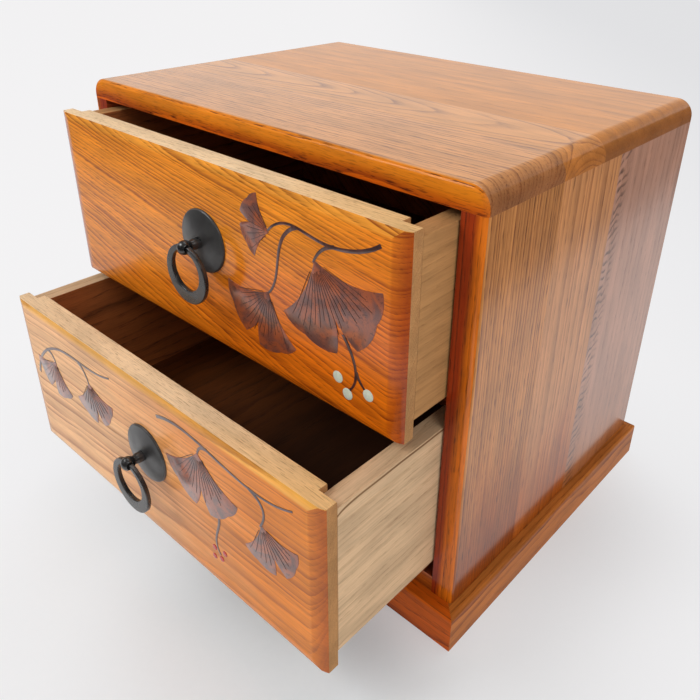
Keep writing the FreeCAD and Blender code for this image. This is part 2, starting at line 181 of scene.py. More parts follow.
def joint_flecks(tree, axes, along, drawn_out, axis, start, width, spacing, slope):
    """Slanted dark cells beside a joint, strongest near it and broken along the grain."""
    beside = add(tree, "Math SUBTRACT", [axes[axis], start])
    turn = add(tree, "Math MULTIPLY_ADD", [beside, slope, along])
    turn = add(tree, "Math MULTIPLY_ADD", [drawn_out(12.0, 6.0, 1.0, 5.0), 8.0, turn])
    turn = add(tree, "Math DIVIDE", [turn, spacing])
    mark = add(tree, "ValToRGB", [add(tree, "Math FRACT", [turn])],
               stops=((0.0, 0.0), (0.2, 0.9), (0.36, 0.7), (0.6, 0.0)))
    near = add(tree, "ValToRGB", [add(tree, "Math DIVIDE", [beside, width])],
               stops=((0.0, 0.5), (0.2, 0.9), (0.5, 0.7), (1.0, 0.0)))
    broken = add(tree, "ValToRGB", [drawn_out(7.0, 5.0, 1.0, 9.0)], stops=((0.36, 0.15), (0.52, 1.0)))
    mark = add(tree, "Math MULTIPLY", [mark, near])
    return add(tree, "Math MULTIPLY", [mark, broken])


def edge_vein(tree, axes, along, drawn_out, level, start, drop):
    """A thin dark line at a level, which dips toward its start."""
    lead = 8.0  # keeps the dip from running off at the start itself
    dip = add(tree, "Math DIVIDE", [-drop, add(tree, "Math ADD", [along, lead - start])])
    line = add(tree, "Math ADD", [dip, level])
    line = add(tree, "Math MULTIPLY_ADD", [drawn_out(40.0, 30.0, 1.0, 2.0), 2.0, line])
    line = add(tree, "Math SUBTRACT", [axes[2], line])
    line = add(tree, "Math ABSOLUTE", [line])
    return add(tree, "ValToRGB", [line], stops=((0.25, 0.9), (0.8, 0.0)))


def drifting(tree, axes, cloud, drift):
    """Where the wood turns from its light to its warm colour: in clouds, or as drift says."""
    if not drift:
        return add(tree, "ValToRGB", [cloud], stops=((0.36, 0.0), (0.64, 1.0)))
    turn = add(tree, "Math MULTIPLY", [cloud, 0.8])
    for axis, middle, width in drift:
        turn = add(tree, "Math MULTIPLY_ADD", [axes[axis], 1 / width, turn])
        turn = add(tree, "Math ADD", [turn, 0.1 - middle / width])
    return add(tree, "ValToRGB", [turn], stops=((0.0, 0.0), (1.0, 1.0)))


END_STOPS = ((0.04, 0.0), (0.26, 0.75), (0.6, 1.0))
# How faces turned upward take the thin colour: a painted highlight
PAINTED_HIGHLIGHT_STOPS = ((0.02, 0.0), (0.16, 0.9), (0.4, 1.0))
PAINTED_HIGHLIGHT_SHARE = 0.85
VARNISH = {"Roughness": 0.6, "Specular IOR Level": 0.1, "Coat Roughness": 0.17, "Coat IOR": 1.5}
BARE_ROUGHNESS = {"stained": 0.62, "raw": 0.78}


def wood(name, grain, pith, lean, ring, wander, light, dark, pore, finish="varnished", lines=0.95,
         pore_share=0.5, warm=None, drift=None, reach=60.0, pore_size=(6.5, 0.55), end=None,
         end_share=0.7, end_stops=END_STOPS, thin=None, flecks=None, vein=None, bite=0.5, coat=1.0,
         steady=0.3):
    """Ring-porous hardwood cut from a log: the growth rings are rounds about a pith line that runs with
    the grain, so faces show straight or cathedral figure and ends show arcs. Early wood is dark with
    long open pores, late wood is smooth and light.

    grain is 0, 1 or 2 for X, Y or Z; pith is the pith's place in the two other axes in turn and lean its
    slope along the grain; ring is the ring's width, wander how far it strays and reach the length over
    which it does, all in millimetres. bite is the share of a ring that its dark early wood takes, lines
    the strength of the rings, and steady the strength of the faintest. The pores are drawn two to three
    times as wide as real ones, because finer ones don't show.

    drift holds the axis, place and width of each turn of the wood from light to warm. Cut ends drink
    more of the finish and turn to the end colour, which on the rounded ends of a face is painted shade.
    Faces turned upward on eased top edges turn to thin: a painted highlight.
    flecks are slanted dark cells beside a joint: their axis, start, width, spacing and slope. vein is a
    thin dark line under a board's top edge: its height, the end where it dips and how far it dips."""
    made, tree, place = new_material(name)
    axes, along, across, drawn_out = grain_space(tree, place, grain, ring)
    share, band = growth_rings(tree, along, across, drawn_out, pith, lean, ring, wander, reach, steady, bite)

    dashes = add(tree, "ValToRGB", [drawn_out(*pore_size, 1.0)], stops=((0.0, 0.0), (0.53, 0.0), (0.64, 1.0)))
    zone = add(tree, "ValToRGB", [share],
               stops=((0.0, 0.6), (0.06, 1.0), (0.3, 0.55), (0.55, 0.2), (1.0, 0.3)))
    pores = add(tree, "Math MULTIPLY", [dashes, zone])
    fibre = drawn_out(22.0, 0.8, 3.0, 7.0)
    cloud = drawn_out(75.0, 22.0, 2.0, 31.0)
    mottle = drawn_out(38.0, 9.0, 2.0, 41.0)

    tone = add(tree, "Mix RGBA", [drifting(tree, axes, cloud, drift), light, warm or light])
    # The end colour on faces along the grain, painted shade on a face's rounded ends, and thin, a painted
    # highlight, on faces turned upward
    for axis, hue, amount, stops in ((grain, end, end_share, end_stops), (2, thin, PAINTED_HIGHLIGHT_SHARE, PAINTED_HIGHLIGHT_STOPS)):
        if hue:
            facing = add(tree, "SeparateXYZ", [add(tree, "TexCoord").outputs["Normal"]]).outputs[axis]
            if axis == grain:
                facing = add(tree, "Math ABSOLUTE", [facing])
            facing = add(tree, "ValToRGB", [facing], stops=stops, curve="LINEAR")
            facing = add(tree, "Math MULTIPLY", [facing, amount])
            tone = add(tree, "Mix RGBA", [facing, tone, hue])
    tone = add(tree, "Mix RGBA", [add(tree, "Math MULTIPLY", [band, lines]), tone, dark])
    pored = add(tree, "Math MULTIPLY", [pores, pore_share])
    for mark, values in ((joint_flecks, flecks), (edge_vein, vein)):
        if values:
            pored = add(tree, "Math MAXIMUM", [pored, mark(tree, axes, along, drawn_out, *values)])
    tone = add(tree, "Mix RGBA", [pored, tone, pore])
    for noise, stops in ((fibre, ((0.25, 0.8), (0.75, 1.0))), (mottle, ((0.36, 0.88), (0.64, 1.1)))):
        shade = add(tree, "ValToRGB", [noise], stops=stops, curve="LINEAR")
        tone = add(tree, "Mix RGBA", [1.0, tone, shade], blend_type="MULTIPLY")

    height = add(tree, "Math MULTIPLY", [fibre, 0.35])
    height = add(tree, "Math SUBTRACT", [height, pores])
    look = {"Base Color": tone, "IOR": 1.5}
    if finish == "varnished":
        skin = add(tree, "Math MULTIPLY_ADD", [pores, -0.12, drawn_out(34.0, 10.0, 1.0, 3.0)])
        look.update(VARNISH)
        look["Coat Weight"] = coat
        look["Normal"] = add(tree, "Bump", {"Height": height, "Strength": 0.3, "Distance": 0.06 * MM})
        look["Coat Normal"] = add(tree, "Bump", {"Height": skin, "Strength": 0.5, "Distance": 0.1 * MM})
    else:
        look["Roughness"] = BARE_ROUGHNESS[finish]
        look["Specular IOR Level"] = 0.3
        look["Normal"] = add(tree, "Bump", {"Height": height, "Strength": 0.6, "Distance": 0.12 * MM})
    return shaded(made, look)


def inlay_wood(name, light, dark, vein):
    """Burl, sliced thin and varnished with the front: cloudy purple-brown with red glints and dark flecks."""
    made, tree, place = new_material(name)
    cloud = add(tree, "TexNoise", {"Vector": place, "Scale": 95.0, "Detail": 4.0, "Distortion": 1.6})
    swirl = add(tree, "TexNoise", {"Vector": place, "Scale": 420.0, "Detail": 3.0, "Distortion": 2.2})
    cloud = add(tree, "ValToRGB", [cloud], stops=((0.36, 0.0), (0.64, 1.0)))
    streak = add(tree, "ValToRGB", [swirl], stops=((0.30, 0.6), (0.46, 0.0), (1.0, 0.0)))
    tone = add(tree, "Mix RGBA", [cloud, dark, light])
    tone = add(tree, "Mix RGBA", [streak, tone, vein])
    bump = add(tree, "Bump", {"Height": swirl, "Strength": 0.3, "Distance": 0.05 * MM})
    return shaded(made, {"Base Color": tone, "Roughness": 0.36, "IOR": 1.5, "Coat Weight": 1.0,
                         "Coat Roughness": 0.17, "Coat IOR": 1.5, "Normal": bump})


def black_metal(name, colour, roughness):
    """Pressed and turned iron with a baked satin black coat: a fine grain that spreads the highlights."""
    made, tree, place = new_material(name)
    grain = add(tree, "TexNoise", {"Vector": place, "Scale": 2600.0, "Detail": 2.0})
    wear = add(tree, "TexNoise", {"Vector": place, "Scale": 160.0, "Detail": 3.0})
    rough = add(tree, "ValToRGB", [wear], stops=((0.3, roughness - 0.03), (0.7, roughness + 0.05)),
                curve="LINEAR")
    wear = add(tree, "ValToRGB", [wear], stops=((0.35, 0.0), (0.7, 1.0)))
    tone = add(tree, "Mix RGBA", [wear, colour, "#2C2A2A"])
    bump = add(tree, "Bump", {"Height": grain, "Strength": 0.12, "Distance": 0.02 * MM})
    return shaded(made, {"Base Color": tone, "Roughness": rough, "IOR": 1.5, "Specular IOR Level": 0.9,
                         "Normal": bump})


def zinc_steel(name):
    """Zinc-plated steel hardware: pale grey metal with a faint blue cast and soft scratches."""
    made, tree, place = new_material(name)
    scratch = add(tree, "TexNoise", {"Vector": place, "Scale": 1500.0, "Detail": 3.0})
    rough = add(tree, "ValToRGB", [scratch], stops=((0.3, 0.28), (0.7, 0.45)), curve="LINEAR")
    tone = add(tree, "Mix RGBA", [scratch, "#9DA0A2", "#C2C3BF"])
    return shaded(made, {"Base Color": tone, "Metallic": 1.0, "Roughness": rough})


def polished_dot(name, light, dark, sheen):
    """Polished shell or lacquer set flush in the wood: a hard bright gloss over soft cloudy layers."""
    made, tree, place = new_material(name)
    layer = add(tree, "TexNoise", {"Vector": place, "Scale": 700.0, "Detail": 2.0, "Distortion": 1.2})
    tone = add(tree, "Mix RGBA", [layer, light, dark])
    return shaded(made, {"Base Color": tone, "Roughness": 0.22, "IOR": 1.53, "Coat Weight": 0.6,
                         "Coat Roughness": 0.08, "Sheen Weight": sheen, "Sheen Roughness": 0.4})


def line_finish(name, colour):
    """Cut line filled with coloured wax, dull beside the varnish."""
    made, tree, place = new_material(name)
    wax = add(tree, "TexNoise", {"Vector": place, "Scale": 900.0, "Detail": 2.0})
    tone = add(tree, "Mix RGBA", [0.35, colour, wax.outputs["Color"]], blend_type="MULTIPLY")
    return shaded(made, {"Base Color": tone, "Roughness": 0.4, "IOR": 1.5, "Coat Weight": 0.5,
                         "Coat Roughness": 0.2})


# Mesh work

def placed(name, data):
    """A new object in the scene."""
    made = bpy.data.objects.new(name, data)
    bpy.context.scene.collection.objects.link(made)
    return made


def drawn(name, points, faces=()):
    """A new object from points, and from faces if there are any."""
    mesh = bpy.data.meshes.new(name)
    mesh.from_pydata([tuple(p) for p in points], [], faces)
    return placed(name, mesh)


def evaluated(holder):
    """The plain mesh that an object's modifiers make. The object itself goes."""
    bpy.context.view_layer.update()
    graph = bpy.context.evaluated_depsgraph_get()
    made = bpy.data.meshes.new_from_object(holder.evaluated_get(graph))
    bpy.data.objects.remove(holder)
    return made


def merged_copy(node, name):
    """A closed copy of a CAD node's mesh with its flat faces whole again."""
    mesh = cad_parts[node].data.copy()
    mesh.name = name
    mesh.materials.clear()
    work = bmesh.new()
    work.from_mesh(mesh)
    bmesh.ops.remove_doubles(work, verts=work.verts, dist=WELD)
    bmesh.ops.dissolve_limit(work, angle_limit=SAME_PLANE, verts=work.verts, edges=work.edges)
    return mesh, work


def soften(work, width, wanted=None):
    """Break the sharp arrises, all of them or those for which wanted(start, end) is true."""
    chosen = []
    for edge in work.edges:
        if len(edge.link_faces) == 2 and edge.calc_face_angle() > ARRIS_ANGLE:
            if not wanted or wanted(edge.verts[0].co, edge.verts[1].co):
                chosen.append(edge)
    bmesh.ops.bevel(work, geom=chosen, offset=width, segments=2, profile=0.6, affect="EDGES",
                    clamp_overlap=True)


def finish_mesh(mesh, work, smooth_angle=32.0):
    """Hand the work back to the mesh, smooth up to an angle in degrees."""
    work.to_mesh(mesh)
    work.free()
    mesh.shade_smooth()
    mesh.set_sharp_from_angle(angle=math.radians(smooth_angle))


def crease_mitres(mesh):
    """Keep the line sharp where the easing of a front's end meets the easing of its long edge."""
    least_forward = 0.85
    faces = {}
    for polygon in mesh.polygons:
        if polygon.normal.y < -least_forward:
            for key in polygon.edge_keys:
                faces.setdefault(key, []).append(polygon.normal.copy())
    sharp = mesh.attributes.get("sharp_edge") or mesh.attributes.new("sharp_edge", "BOOLEAN", "EDGE")
    for edge in mesh.edges:
        pair = faces.get(edge.key, ())
        if len(pair) == 2 and pair[0].angle(pair[1], 0.0) > MITRE_ANGLE:
            sharp.data[edge.index].value = True


def evened(mesh):
    """Let the flat faces rule the shading, so that it turns only on the softened arrises."""
    holder = placed(mesh.name, mesh)
    weigh = holder.modifiers.new("weigh", "WEIGHTED_NORMAL")
    weigh.keep_sharp = True
    weigh.weight = 60
    return evaluated(holder)


def piece(mesh, name, body, slot, *nodes):
    """Link a finished mesh, put it on its body and let it stand for its CAD nodes."""
    made = placed(name, mesh)
    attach(made, body)
    if nodes:
        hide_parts(*nodes)


def board(node, body, slot, materials, choose=None, width=0.3 * MM, wanted=None):
    """Dress one board: softened arrises, and a finish for each face by its middle and its normal."""
    mesh, work = merged_copy(node, node + "_board")
    soften(work, width, wanted)
    for material in materials:
        mesh.materials.append(material)
    work.normal_update()
    if choose:
        for face in work.faces:
            face.material_index = choose(face.calc_center_median(), face.normal)
    finish_mesh(mesh, work)
    crease_mitres(mesh)
    piece(evened(mesh), node + "_board", body, slot, node)


def fitting(node, ending, body, slot, material, smooth_angle, width=0.0, wanted=None):
    """Dress one small part in a single finish, its arrises softened if a width is given."""
    mesh, work = merged_copy(node, node + ending)
    mesh.materials.append(material)
    if width:
        soften(work, width, wanted)
    finish_mesh(mesh, work, smooth_angle)
    piece(mesh, node + ending, body, slot, node)


def plain_node(node, material):
    """Give a CAD node that stays as it is its material."""
    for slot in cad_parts[node].material_slots:
        slot.material = material


def islands(node):
    """Low and high corner of each separate solid of a CAD node, in the same order every time."""
    work = bmesh.new()
    work.from_mesh(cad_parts[node].data)
    bmesh.ops.remove_doubles(work, verts=work.verts, dist=WELD)
    left = set(work.verts)
    found = []
    while left:
        stack = [left.pop()]
        group = [stack[0].co.copy()]
        while stack:
            for edge in stack.pop().link_edges:
                for vertex in edge.verts:
                    if vertex in left:
                        left.remove(vertex)
                        stack.append(vertex)
                        group.append(vertex.co.copy())
        found.append([Vector([pick(p[i] for p in group) for i in range(3)]) for pick in (min, max)])
    work.free()
    return sorted(found, key=lambda pair: tuple(round(x, 5) for x in pair[0]))


# Settings

class ChestColours(bpy.types.PropertyGroup):
    """Colours of the chest's finishes as sRGB hex."""
    front: bpy.props.StringProperty(name="Upper front", description="Light wood of the upper drawer's front",
                                    default="#FC981C")
    ring: bpy.props.StringProperty(name="Upper grain", description="Growth rings of the upper drawer's front",
                                   default="#8E3404")
    raw: bpy.props.StringProperty(name="Raw wood", description="Unfinished edges of the drawer fronts",
                                  default="#FEDDB2")
    stain: bpy.props.StringProperty(name="Inside", description="Stained insides", default="#A0441A")
    inlay: bpy.props.StringProperty(name="Inlay", description="Leaf inlay", default="#6A4038")
    metal: bpy.props.StringProperty(name="Pulls", description="Black of the ring pulls", default="#1C1B1B")


class ChestSizes(bpy.types.PropertyGroup):
    """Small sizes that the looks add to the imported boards."""
    arris: bpy.props.FloatProperty(name="Arris", description="Break of the boards' edges", default=0.35 * MM,
                                   unit="LENGTH", subtype="DISTANCE")
    vein: bpy.props.FloatProperty(name="Vein", description="Width of a leaf's cut veins", default=0.2 * MM,
                                  unit="LENGTH", subtype="DISTANCE")
    dome: bpy.props.FloatProperty(name="Dot rise", description="Rise of the round inlays", default=0.35 * MM,
                                  unit="LENGTH", subtype="DISTANCE")


def colours():
    """The colours as the user has set them."""
    return bpy.context.scene.chest_colours


def sizes():
    """The small sizes as the user has set them."""
    return bpy.context.scene.chest_sizes


# Chest

def not_on_glue_line(start, end):
    """False for an arris on a stave's glued face, where the boards meet flush."""
    front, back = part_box("top_stave_front")[0].y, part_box("top_stave_back")[1].y
    level = abs(start.y - end.y) < NEAR / 10
    return not (level and front + NEAR < start.y < back - NEAR)


class CHEST_OT_carcass(bpy.types.Operator):
    """Dress the carcass: top and side staves, bottom, back, divider and runners"""
    bl_idname = "chest.carcass"
    bl_label = "Carcass boards"

    def execute(self, context):
        stained = wood("stained_inside_elm", 1, (-60, 40), (0, 0), 3.0, 6.0, colours().stain, STAIN_RINGS,
                       STAIN_PORES, finish="stained")
        wrap = ((0.05, 0.0), (0.45, 0.45), (0.95, 1.0))
        cathedral = dict(grain=0, pith=(68, 190), lean=(0, -0.08), ring=2.2, wander=3.0, end_stops=wrap)
        top = {
            "front": wood("top_front_varnished_elm", light="#EEA25A", dark="#8A481A", pore="#6A3512",
                          bite=0.45, pore_share=0.7, end="#6E3826", **cathedral),
            "middle": wood("top_middle_varnished_elm", light="#F4A452", dark="#84400F", pore="#7A4216",
                           bite=0.4, pore_share=0.4, end="#BC6C28", end_share=0.8, **cathedral),
            "back": wood("top_back_varnished_elm", 0, (330, 60), (0, 0), 7.0, 6.0, "#EC9636", "#A55A18",
                         "#70390F", lines=0.4, pore_share=0.3, end="#6E3826", end_stops=wrap, coat=0.85),
        }
        # The brow turns brighter orange toward the top arris: painted highlight along the rounded top edge.
        brow_with_painted_highlight = wood("top_edge_varnished_elm", 0, (-170, 150), (0, 0), 2.3, 3.0, "#DE6006", "#903406",
                    "#4A1804", pore_share=0.9, warm="#F28C14", drift=((2, 202.0, 8.0),), end="#D06A10",
                    end_share=0.5, coat=0.25)
        for name, material in top.items():
            board("top_stave_" + name, "chest", "varnished_wood", [material, stained, brow_with_painted_highlight],
                  lambda middle, normal: 1 if normal.z < -FACING else 2 if normal.y < -BROW else 0,
                  sizes().arris, not_on_glue_line)
        # The side staves turn upward from their light colour to a paler, pinker warm one: painted sheen.
        painted_sheen_above = dict(drift=((2, 60.0, 90.0),))
        side = {
            "front": wood("side_front_varnished_elm", 2, (60, -220), (0, 0), 2.0, 2.0, "#A04806", "#783612",
                          "#4E2208", warm="#D8904E", bite=0.9, lines=0.95, steady=0.6, pore_share=0.8,
                          pore_size=(8.0, 0.6), coat=0.92, **painted_sheen_above),
            "middle": wood("side_middle_varnished_elm", 2, (-60, 260), (0, 0), 2.8, 3.0, "#B2560C", "#7A3A12",
                           "#54280C", warm="#DA945A", lines=0.85, bite=0.8, pore_share=0.6,
                           pore_size=(8.0, 0.6), coat=0.92, **painted_sheen_above),
            "back": wood("side_back_varnished_elm", 2, (94, 98), (0, 0), 5.0, 5.0, "#B06C40", "#84502F",
                         "#3A1A0C", warm="#C28C72", lines=0.35, pore_share=0.4, pore_size=(6.0, 0.5),
                         flecks=(1, 98.0, 13.0, 4.2, -0.3), **painted_sheen_above),
        }
        for hand, inward in HANDS.items():
            # The front edges of the sides darken to red-brown on their inner half beside the drawers: painted
            # shade. They also darken upward.
            edge = wood(f"{hand}_edge_varnished_elm", 2, (-140, 60), (0, 0), 2.2, 3.0, "#A43406", "#601A04",
                        "#3A1004", pore_share=0.7, warm="#E2740C", coat=0.7,
                        drift=((0, -115.0 * inward, -4.0 * inward), (2, 110.0, -240.0)))
            for name, material in side.items():
                board(f"{hand}_side_stave_{name}", "chest", "varnished_wood", [material, stained, edge],
                      lambda middle, normal: (1 if normal.x * inward > FACING
                                              else 2 if normal.y < -FORWARD else 0),
                      sizes().arris, not_on_glue_line)
        rail = wood("bottom_board_varnished_elm", 0, (-40, -30), (0.02, 0), 2.6, 4.0, "#B4560F", "#6E2E08",
                    "#451B06")
        board("bottom_board", "chest", "varnished_wood", [rail, stained],
              lambda middle, normal: 0 if normal.y < -FACING else 1, sizes().arris)
        panel = wood("back_panel_plywood", 2, (0, 60), (0, 0), 2.6, 8.0, "#B0743A", "#80491F", "#5A3216",
                     finish="stained")
        board("back_panel", "chest", "thin_panel", [panel], None, 0.2 * MM)
        board("divider_panel", "chest", "thin_panel", [stained], None, 0.2 * MM)
        for node in ("lower_runners", "upper_runners"):
            board(node, "chest", "plain_wood", [stained], None, 0.2 * MM)
        birch = wood("dowel_birch", 2, (0, 0), (0, 0), 1.2, 1.0, "#D9B98A", "#B48E5C", "#8A6438", "raw")
        plain_node("top_dowels", birch)
        return {"FINISHED"}


class CHEST_OT_plinth(bpy.types.Operator):
    """Dress the mitred plinth rails"""
    bl_idname = "chest.plinth"
    bl_label = "Plinth rails"

    def execute(self, context):
        for name, grain, pith in (("front", 0, (-60, -15)), ("back", 0, (240, -15)),
                                  ("left", 1, (-15, -190)), ("right", 1, (-15, 190))):
            figure = dict(grain=grain, pith=pith, lean=(0, 0.01), ring=3.0, wander=5.0)
            light = "#DC6410" if name == "front" else "#C87630"
            rail = wood(f"plinth_{name}_varnished_elm", light=light, dark="#742804", pore="#4E2006", coat=0.18,
                        **figure)
            raw = wood(f"plinth_{name}_raw_elm", light="#C79A62", dark="#97683A", pore="#6A4424", finish="raw",
                       **figure)
            board("plinth_rail_" + name, "chest", "varnished_wood", [rail, raw],
                  lambda middle, normal: 1 if normal.z < -FACING else 0, sizes().arris)
        return {"FINISHED"}


SCREW_TURN = 3.0  # the most that a recess is turned, in radians
SCREW_SEED = 3


def geometry_tree(name, geometry, made, **values):
    """A geometry tree with one geometry going in, one coming out and named values: the tree, the sockets
    that all of these come in by, and the identifiers of the values."""
    tree = bpy.data.node_groups.new(name, "GeometryNodeTree")
    tree.interface.new_socket(geometry, in_out="INPUT", socket_type="NodeSocketGeometry")
    names = {}
    for value, kind in values.items():
        socket = tree.interface.new_socket(value, in_out="INPUT", socket_type="NodeSocket" + kind)
        names[value] = socket.identifier
    tree.interface.new_socket(made, in_out="OUTPUT", socket_type="NodeSocketGeometry")
    return tree, add(tree, "NodeGroupInput").outputs, names


def hand_out(tree, geometry, material):
    """End a geometry tree with what it made, in its material."""
    finished = add(tree, "GeometryNodeSetMaterial", {"Geometry": geometry, "Material": material})
    add(tree, "NodeGroupOutput", [finished])


def screw_tree(material, screw):
    """Geometry nodes that set one screw at each point."""
    tree, start, names = geometry_tree("screws_on_points", "Points", "Screws", Turn="Float")
    shape = add(tree, "GeometryNodeObjectInfo", [screw]).outputs["Geometry"]
    chance = add(tree, "FunctionNodeRandomValue FLOAT", [0.0, start["Turn"], None, SCREW_SEED])
    turned = add(tree, "FunctionNodeEulerToRotation", [add(tree, "CombineXYZ", [0.0, 0.0, chance])])
    spread = add(tree, "GeometryNodeInstanceOnPoints",
                 {"Points": start["Points"], "Instance": shape, "Rotation": turned})
    hand_out(tree, add(tree, "GeometryNodeRealizeInstances", [spread]), material)
    return tree, names


def baked(holder, built, values):
    """Run a tree, given with its input names, on an object and hand back the plain mesh."""
    tree, names = built
    modifier = holder.modifiers.new("build", "NODES")
    modifier.node_group = tree
    for name, value in values.items():
        modifier[names[name]] = value
    return evaluated(holder)


def screw_shape(radius, length):
    """A countersunk screw that points up from the origin, with a cross recess in its head."""
    shank = radius * 0.52
    taper = radius - shank
    turns = 32
    work = bmesh.new()
    rings = []
    for distance, height in ((radius * 0.97, 0.0), (radius, 0.03 * radius), (shank, taper),
                             (shank, length - shank), (shank * 0.08, length)):
        rings.append([work.verts.new((distance * math.cos(2 * math.pi * i / turns),
                                      distance * math.sin(2 * math.pi * i / turns), height))
                      for i in range(turns)])
    for lower, upper in zip(rings[:-1], rings[1:]):
        for i in range(turns):
            work.faces.new((lower[i], lower[(i + 1) % turns], upper[(i + 1) % turns], upper[i]))
    work.faces.new(rings[-1])
    arm, slot, depth, narrowing = radius * 0.62, radius * 0.16, radius * 0.4, 0.55
    cross = [(arm, slot), (slot, slot), (slot, arm)]
    while len(cross) < 12:
        x, y = cross[-3]
        cross.append((-y, x))
    mouth = [work.verts.new((x, y, 0)) for x, y in cross]
    floor = [work.verts.new((x * narrowing, y * narrowing, depth)) for x, y in cross]
    count = len(cross)
    for i in range(count):
        work.faces.new((mouth[(i + 1) % count], mouth[i], floor[i], floor[(i + 1) % count]))
    work.faces.new(floor)
    rim = [edge for edge in work.edges if edge.is_boundary]
    bmesh.ops.triangle_fill(work, use_beauty=True, edges=rim, normal=(0, 0, -1))
    bmesh.ops.recalc_face_normals(work, faces=work.faces)
    mesh = bpy.data.meshes.new("screw_shape")
    finish_mesh(mesh, work, 30.0)
    return placed("screw_shape", mesh)


class CHEST_OT_screws(bpy.types.Operator):
    """Set the countersunk screws in the plinth's underside"""
    bl_idname = "chest.screws"
    bl_label = "Plinth screws"

    def execute(self, context):
        steel = zinc_steel("zinc_plated_steel")
        spots = islands("plinth_screws")
        low, high = spots[0]
        screw = screw_shape((high.x - low.x) / 2, high.z - low.z)
        holder = drawn("screw_points", [((a.x + b.x) / 2, (a.y + b.y) / 2, a.z) for a, b in spots])
        made = baked(holder, screw_tree(steel, screw), {"Turn": SCREW_TURN})
        bpy.data.objects.remove(screw)
        piece(made, "plinth_screw_set", "chest", "zinc_steel", "plinth_screws")
        return {"FINISHED"}


# Drawers

class CHEST_OT_drawers(bpy.types.Operator):
    """Dress both drawers: varnished faces, raw edges and stained insides"""
    bl_idname = "chest.drawers"
    bl_label = "Drawer boxes"

    def execute(self, context):
        for label in DRAWERS:
            self.dress_front(label)
            self.dress_box(label)
        return {"FINISHED"}

    def dress_front(self, label):
        """The front board, with the same figure in its three finishes."""
        low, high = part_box(label + "_drawer_front")
        middle_z = (low.z + high.z) / 2 / MM
        face_y = low.y / MM
        c = colours()
        # thin paints a highlight on the upward easing of the top edge, and end paints shade on the rounded
        # ends of the face
        if label == "upper":
            figure = dict(pith=(face_y + 150, 80), lean=(0.06, -0.08), ring=1.05, wander=2.0, reach=80.0,
                          steady=0.45)
            tones = dict(light="#EC7608", warm=c.front, drift=((2, 150.0, 60.0), (0, 0.0, -150.0)),
                         dark=c.ring, pore="#6E2A06", pore_share=0.55, bite=0.7, lines=0.95,
                         end="#9A3604", end_share=0.8, thin="#F8A436", coat=0.75)
        else:
            figure = dict(pith=(face_y + 300, middle_z - 60), lean=(-0.008, 0.0), ring=0.75, wander=1.3,
                          reach=80.0, steady=0.35)
            tones = dict(light="#FFC284", warm="#EE8814", drift=((0, 15.0, 150.0),), dark="#9C4A0E",
                         pore="#703008", pore_share=0.25, bite=0.75, lines=0.8, end="#A4460A",
                         end_share=0.7, thin="#FFBC58", coat=0.65)
        face = wood(label + "_front_varnished_elm", 0, end_stops=((0.04, 0.0), (0.14, 0.45), (0.34, 1.0)),
                    **figure, **tones)
        edge = wood(label + "_front_raw_elm", 0, light=c.raw, warm="#F2C284", drift=((0, 60.0, 80.0),),
                    dark="#D8AA70", pore="#8A5C30", finish="raw", lines=0.6, pore_share=0.55,
                    pore_size=(4.0, 0.4), end="#B07A48", end_share=0.9, **figure)
        inside = wood(label + "_front_stained_elm", 0, light=c.stain, dark=STAIN_RINGS, pore=STAIN_PORES,
                      finish="stained", **figure)
        inner_half = abs(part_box(label + "_drawer_left_side")[1].x)
        rounded = 6.0 * MM  # deeper than the roundings of the face

        def front_finish(middle, normal):
            """Varnished ahead, stained inside the drawer, raw all round."""
            if normal.y < -FORWARD:
                return 0
            return 2 if normal.y > FACING and abs(middle.x) < inner_half else 1

        def outline_only(start, end):
            """The outer edges, and the rabbets behind the lips."""
            half = min(abs(start.x), abs(end.x))
            at_end = half > high.x - NEAR
            at_long_edge = all(min(p.z - low.z, high.z - p.z) < NEAR for p in (start, end))
            behind = half > inner_half - MM and all(p.y > low.y + rounded for p in (start, end))
            return at_end or at_long_edge or behind

        board(label + "_drawer_front", label + "_drawer", "varnished_wood", [face, edge, inside],
              front_finish, 0.3 * MM, outline_only)

    def dress_box(self, label):
        """The sides and back, raw without and stained within, and the stained bottom. Painted shade darkens
        the bottom toward the right and the upper drawer's sides.
        """
        low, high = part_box(label + "_drawer_front")
        middle_z = (low.z + high.z) / 2 / MM
        body = label + "_drawer"
        # The upper drawer's raw sides are darker than the lower drawer's: painted shade from the carcass
        # around them.
        if label == "upper":
            pale, brown, vein = "#C08C56", "#744A22", None
        else:
            pale, brown, vein = "#E0BC94", "#A0744A", (high.z / MM - 4.5, high.y / MM, 10.0)
        raw = wood(label + "_side_raw_elm", 1, (middle_z + 150, 60), (0.04, 0.0), 4.0, 6.0, pale, brown,
                   "#7A5028", "raw", lines=0.35, pore_share=0.3, reach=110.0, end="#B98A58",
                   pore_size=(4.5, 0.4), vein=vein)
        stain = wood(label + "_side_stained", 1, (middle_z + 160, 118), (0, 0), 4.0, 8.0, "#B86632",
                     STAIN_RINGS, STAIN_PORES, "stained", lines=0.6)
        for hand, inward in HANDS.items():
            board(f"{body}_{hand}_side", body, "plain_wood", [raw, stain],
                  lambda middle, normal: 1 if normal.x * inward > FACING else 0, 0.3 * MM)
        board(body + "_back", body, "plain_wood", [raw, stain],
              lambda middle, normal: 1 if normal.y < -FACING else 0, 0.3 * MM)
        # The bottom's brown darkens from left to right: painted shade over the stain.
        floor = wood(label + "_bottom_stained_panel", 1, (middle_z - 90, 30), (0, 0), 6.0, 14.0, "#84481E",
                     "#30160A", STAIN_PORES, "stained", lines=0.5, warm="#44240F", drift=((0, -20.0, 90.0),))
        board(body + "_bottom", body, "thin_panel", [floor], None, 0.15 * MM)


# Ring pulls

